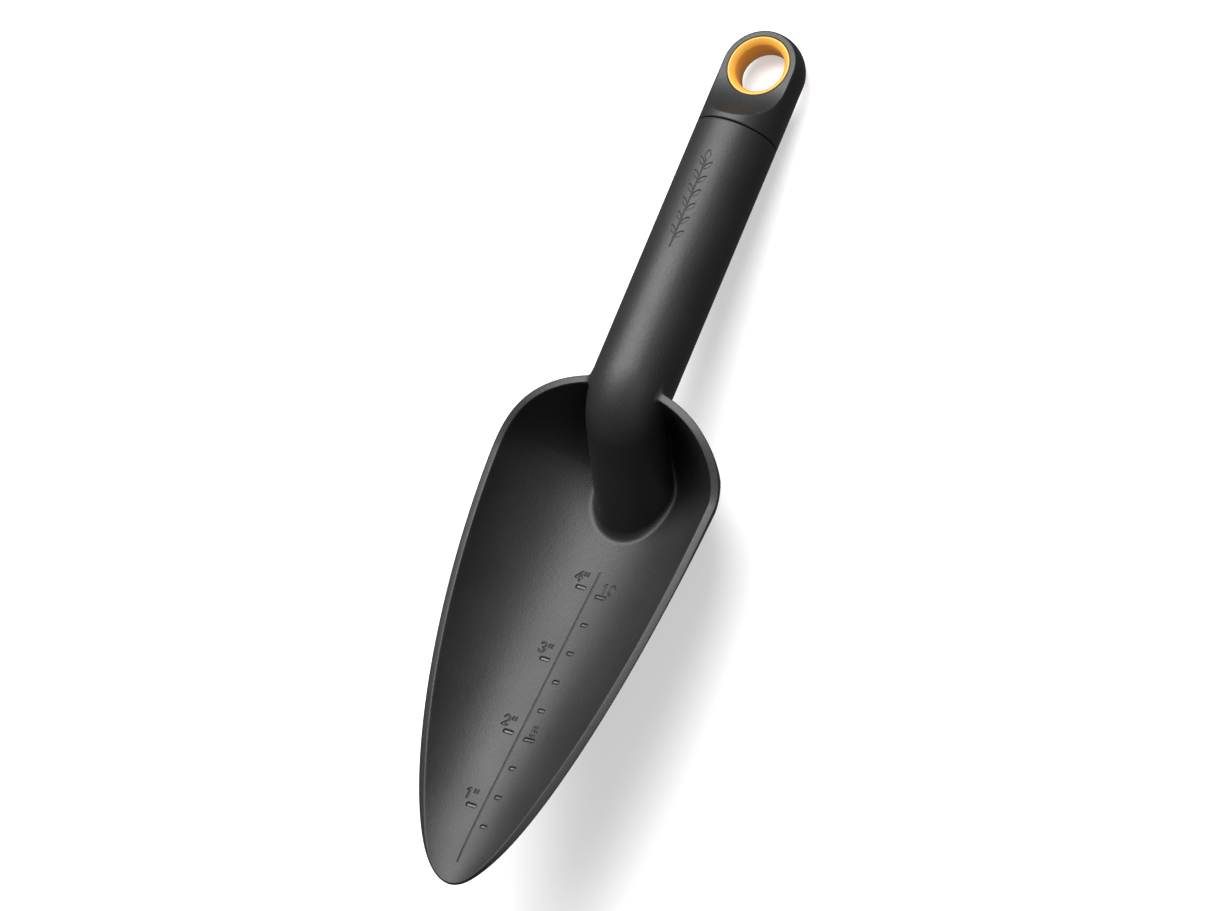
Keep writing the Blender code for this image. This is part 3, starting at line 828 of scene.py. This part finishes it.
def cap_field(points):
    """Signed distance to the end cap."""
    x, y, z = points[..., 0], points[..., 1], points[..., 2]
    around = np.hypot(y, z)
    taper = (GRIP_R - HEAD_R) / RING_X
    side = around - HEAD_R - taper * (RING_X - x)
    barrel = np.where(x < RING_X, side, np.hypot(x - RING_X, around) - HEAD_R)
    solid = rounded_max(barrel, SEAM - x, EDGE)
    hollow_x, hollow_z = x - RUNOUT_X, np.abs(z) - FLAT_Z - RUNOUT_R
    flat = np.where(x < RUNOUT_X, RUNOUT_R - np.hypot(hollow_x, hollow_z), np.abs(z) - FLAT_Z)
    solid = rounded_max(solid, flat, FACE_EDGE)
    solid = rounded_max(solid, SEAT_R - np.hypot(x - RING_X, y), FACE_EDGE)
    ends = np.abs(x + SPIGOT_LENGTH / 2 - 1.0) - SPIGOT_LENGTH / 2 - 1.0
    spigot = rounded_max(around - SPIGOT_R, ends, EDGE)
    bead = np.hypot(x - BEAD_X, around - SPIGOT_R) - BEAD_R
    spigot = np.minimum(spigot, bead)
    cup = np.maximum(around - SPIGOT_BORE_R, x + SPIGOT_FLOOR)
    return np.minimum(solid, rounded_max(spigot, -cup, EDGE))


def surface_nets(field, low, high, step):
    """Quad mesh of a field's zero surface, its vertices then moved onto it."""
    axes = [np.arange(a, b + step, step) for a, b in zip(low, high)]
    grid = np.stack(np.meshgrid(*axes, indexing="ij"), axis=-1)
    value = field(grid)
    cells = tuple(n - 1 for n in value.shape)
    total = np.zeros(cells + (3,))
    count = np.zeros(cells)
    crossings = []
    for axis in range(3):
        near = [slice(None)] * 3
        far = [slice(None)] * 3
        near[axis] = slice(None, -1)
        far[axis] = slice(1, None)
        a, b = value[tuple(near)], value[tuple(far)]
        cross = (a < 0) != (b < 0)
        share = np.where(cross, a / np.where(cross, a - b, 1.0), 0.0)
        place = grid[tuple(near)] + 0.0
        place[..., axis] += share * step
        crossings.append((cross, a < 0))
        others = [other for other in range(3) if other != axis]
        for first in (0, 1):
            for second in (0, 1):
                window = [slice(None)] * 3
                window[others[0]] = slice(first, cells[others[0]] + first)
                window[others[1]] = slice(second, cells[others[1]] + second)
                picked = cross[tuple(window)]
                count += picked
                total += np.where(picked[..., None], place[tuple(window)], 0.0)
    used = count > 0
    number = np.cumsum(used.ravel()).reshape(cells) - 1
    verts = total[used] / count[used][:, None]
    faces = []
    for axis in range(3):
        cross, inside = crossings[axis]
        turn = [axis, (axis + 1) % 3, (axis + 2) % 3]
        cross, inside, numbers = (np.transpose(data, turn) for data in (cross, inside, number))
        i, j, k = np.nonzero(cross[:, 1:-1, 1:-1])
        quad = np.stack([numbers[i, j, k], numbers[i, j + 1, k],
                         numbers[i, j + 1, k + 1], numbers[i, j, k + 1]], axis=1)
        outward = inside[:, 1:-1, 1:-1][i, j, k]
        faces.append(np.where(outward[:, None], quad, quad[:, ::-1]))
    for _ in range(4):
        reach = 1e-3
        slope = np.stack([(field(verts + reach * side) - field(verts - reach * side)) / (2 * reach)
                          for side in np.eye(3)], axis=1)
        size = np.maximum((slope * slope).sum(axis=1), 0.2)
        verts = verts - np.clip(field(verts) / size, -step, step)[:, None] * slope
    return verts, np.concatenate(faces)


def make_cap():
    low = (-SPIGOT_LENGTH - 1.0, -GRIP_R - 1.0, -GRIP_R - 1.0)
    high = (RING_X + HEAD_R + 1.0, GRIP_R + 1.0, GRIP_R + 1.0)
    verts, faces = surface_nets(cap_field, low, high, NET_STEP)
    return new_mesh_object("trowel_end_cap", verts, faces)


def make_ring():
    """Sleeve in the hanging hole, with both lips sloping into the bore."""
    profile = [(FLAT_Z - RING_EDGE * (1 - math.cos(a)), RING_R - RING_EDGE * (1 - math.sin(a)))
               for a in np.radians(np.linspace(90.0, 0.0, 5))]
    for t in np.linspace(0.0, 1.0, 9):
        bulge = RING_LIP_BULGE * math.sin(math.pi * t)
        radius = RING_LAND_R + (RING_BORE_R - RING_LAND_R) * t
        profile.append((FLAT_Z - RING_LIP_DEPTH * t + bulge, radius - bulge))
    profile = np.array(profile + [(-z, r) for z, r in profile[::-1]])
    turns = np.linspace(0.0, 2 * math.pi, 161)[:-1]
    z, r = profile[:, 0][:, None], profile[:, 1][:, None]
    height = np.broadcast_to(z, (len(z), len(turns)))
    verts = np.stack([RING_X + r * np.cos(turns), r * np.sin(turns), height], axis=-1)
    index = np.arange(verts[..., 0].size).reshape(verts.shape[:2])
    index = np.concatenate([index, index[:1]])
    index = np.concatenate([index, index[:, :1]], axis=1)
    obj = new_mesh_object("trowel_hang_ring", verts.reshape(-1, 3), grid_faces(index))
    weld(obj)
    return obj


# ---------------------------------------------------------------- finishes

# Dark, light and worn colour of each plastic; the worn colour also gives the painted glint speckle and the
# painted edge highlight
BLACKS = (0.013, 0.013, 0.0133), (0.017, 0.017, 0.0173), (0.05, 0.05, 0.05)
AMBERS = (0.80, 0.38, 0.05), (0.86, 0.44, 0.07), (0.95, 0.62, 0.22)


def noise(tree, scale, detail, source):
    node = tree.nodes.new("ShaderNodeTexNoise")
    node.inputs["Scale"].default_value = scale
    node.inputs["Detail"].default_value = detail
    tree.links.new(source, node.inputs["Vector"])
    return node.outputs["Fac"]


def remap(tree, value, low, high, to_low, to_high):
    node = tree.nodes.new("ShaderNodeMapRange")
    for socket, number in zip(("From Min", "From Max", "To Min", "To Max"), (low, high, to_low, to_high)):
        node.inputs[socket].default_value = number
    tree.links.new(value, node.inputs["Value"])
    return node.outputs["Result"]


def combine_values(tree, operation, a, b):
    node = tree.nodes.new("ShaderNodeMath")
    node.operation = operation
    for socket, value in zip(node.inputs, (a, b)):
        tree.links.new(value, socket)
    return node.outputs["Value"]


def mix_colour(tree, factor, a, b):
    node = tree.nodes.new("ShaderNodeMix")
    node.data_type = "RGBA"
    tree.links.new(factor, node.inputs["Factor"])
    for socket, value in ((node.inputs[6], a), (node.inputs[7], b)):
        if isinstance(value, tuple):
            socket.default_value = (*value, 1.0)
        else:
            tree.links.new(value, socket)
    return node.outputs[2]


def bump(tree, height, distance, previous=None):
    node = tree.nodes.new("ShaderNodeBump")
    node.inputs["Strength"].default_value = 1.0
    node.inputs["Distance"].default_value = distance
    tree.links.new(height, node.inputs["Height"])
    if previous is not None:
        tree.links.new(previous, node.inputs["Normal"])
    return node.outputs["Normal"]


def moulded_plastic(name, dark, light, worn_and_highlight, roughness, grain, depth, cut_roughness=None):
    """Moulded plastic with fine grain, a fine lighter speckle of painted glints, and slow colour and gloss
    changes; grain and depth in mm.

    Without a cut roughness the edges are rubbed lighter, partly wear and partly a painted edge highlight;
    with one the engraved cuts are glossier.
    """
    material = bpy.data.materials.new(name)
    material.use_nodes = True
    tree = material.node_tree
    shader = tree.nodes["Principled BSDF"]
    shader.inputs["IOR"].default_value = 1.5
    place = tree.nodes.new("ShaderNodeTexCoord").outputs["Object"]
    fine = noise(tree, 1.0 / (grain * MM), 3.0, place)
    coarse = noise(tree, 1.0 / (4.0 * grain * MM), 2.0, place)
    slow = noise(tree, 45.0, 3.0, place)
    colour = mix_colour(tree, remap(tree, slow, 0.35, 0.65, 0.0, 1.0), dark, light)
    # Fine lighter speckle towards the worn colour: painted glints.
    colour = mix_colour(tree, remap(tree, fine, 0.62, 0.78, 0.0, 0.35), colour, worn_and_highlight)
    both = combine_values(tree, "ADD", slow, fine)
    gloss = remap(tree, both, 0.7, 1.3, roughness - 0.05, roughness + 0.05)
    if cut_roughness is None:
        # Convex edges made lighter: partly wear, partly a painted edge highlight.
        edge = tree.nodes.new("ShaderNodeNewGeometry").outputs["Pointiness"]
        patchy = remap(tree, coarse, 0.3, 0.6, 0.4, 1.0)
        rubbed_and_highlight = combine_values(tree, "MULTIPLY", remap(tree, edge, 0.53, 0.62, 0.0, 0.6), patchy)
        colour = mix_colour(tree, rubbed_and_highlight, colour, worn_and_highlight)
    else:
        cut = tree.nodes.new("ShaderNodeAttribute")
        cut.attribute_name = "cut"
        drop = remap(tree, cut.outputs["Fac"], 0.3, 1.0, 0.0, roughness - cut_roughness)
        gloss = combine_values(tree, "SUBTRACT", gloss, drop)
    tree.links.new(colour, shader.inputs["Base Color"])
    tree.links.new(gloss, shader.inputs["Roughness"])
    broad = bump(tree, coarse, 0.9 * depth * MM)
    tree.links.new(bump(tree, fine, depth * MM, broad), shader.inputs["Normal"])
    return material


# ---------------------------------------------------------------- stage

def plain_material(name, colour, roughness):
    material = bpy.data.materials.new(name)
    material.use_nodes = True
    shader = material.node_tree.nodes["Principled BSDF"]
    shader.inputs["Base Color"].default_value = (*colour, 1.0)
    shader.inputs["Roughness"].default_value = roughness
    return material


def make_floor():
    """White floor that the trowel's own surfaces don't mirror or take light from."""
    half = FLOOR_SIZE / 2
    corners = [(-half, -half, 0), (half, -half, 0), (half, half, 0), (-half, half, 0)]
    floor = new_mesh_object("floor", corners, [(0, 1, 2, 3)])
    white = plain_material("floor_white", (0.8, 0.8, 0.8), 0.9)
    shader = white.node_tree.nodes["Principled BSDF"]
    shader.inputs["Emission Color"].default_value = (1.0, 1.0, 1.0, 1.0)
    shader.inputs["Emission Strength"].default_value = FLOOR_GLOW
    floor.data.materials.append(white)
    floor.visible_glossy = False
    floor.visible_diffuse = False


def area_light(name, place, size, power):
    """White rectangular light turned towards the trowel."""
    data = bpy.data.lights.new(name, "AREA")
    data.shape = "RECTANGLE"
    data.size, data.size_y = size
    data.energy = power
    light = bpy.data.objects.new(name, data)
    bpy.context.scene.collection.objects.link(light)
    light.location = place
    light.rotation_euler = (Vector(LIGHT_TARGET) - Vector(place)).to_track_quat("-Z", "Y").to_euler()


def make_lights():
    world = bpy.data.worlds.new("studio")
    bpy.context.scene.world = world
    world.use_nodes = True
    background = world.node_tree.nodes["Background"]
    background.inputs["Color"].default_value = (1.0, 1.0, 1.0, 1.0)
    background.inputs["Strength"].default_value = WORLD_GLOW
    area_light("key", KEY_PLACE, KEY_SIZE, KEY_POWER)
    area_light("fill", FILL_PLACE, FILL_SIZE, FILL_POWER)


def make_camera():
    """Camera at the photograph's angle, about 1.8 m from the cap seam."""
    right = Vector(CAMERA_RIGHT)
    up = Vector(CAMERA_UP)
    back = right.cross(up)
    pose = Matrix.Translation(Vector(CAMERA_PLACE)) @ Matrix((right, up, back)).transposed().to_4x4()
    row = TO_ROW @ pose
    data = bpy.data.cameras.new("camera")
    data.lens = CAMERA_LENS
    data.sensor_width = 36.0
    data.clip_end = 20.0
    camera = bpy.data.objects.new("camera", data)
    bpy.context.scene.collection.objects.link(camera)
    camera.matrix_world = Matrix.LocRotScale(row.to_translation(), row.to_quaternion(), None)
    bpy.context.scene.camera = camera


charcoal = moulded_plastic("charcoal_moulded", *BLACKS, roughness=0.50, grain=0.45, depth=0.045,
                           cut_roughness=0.3)
cap_black = moulded_plastic("cap_moulded", *BLACKS, roughness=0.48, grain=0.45, depth=0.04)
amber = moulded_plastic("amber_moulded", *AMBERS, roughness=0.40, grain=0.5, depth=0.008)

finish_piece(make_scoop_and_grip(), "scoop_and_grip", charcoal)
finish_piece(make_cap(), "end_cap", cap_black)
finish_piece(make_ring(), "hang_ring", amber)
make_floor()
make_lights()
make_camera()
bpy.context.scene.view_settings.view_transform = "Standard"
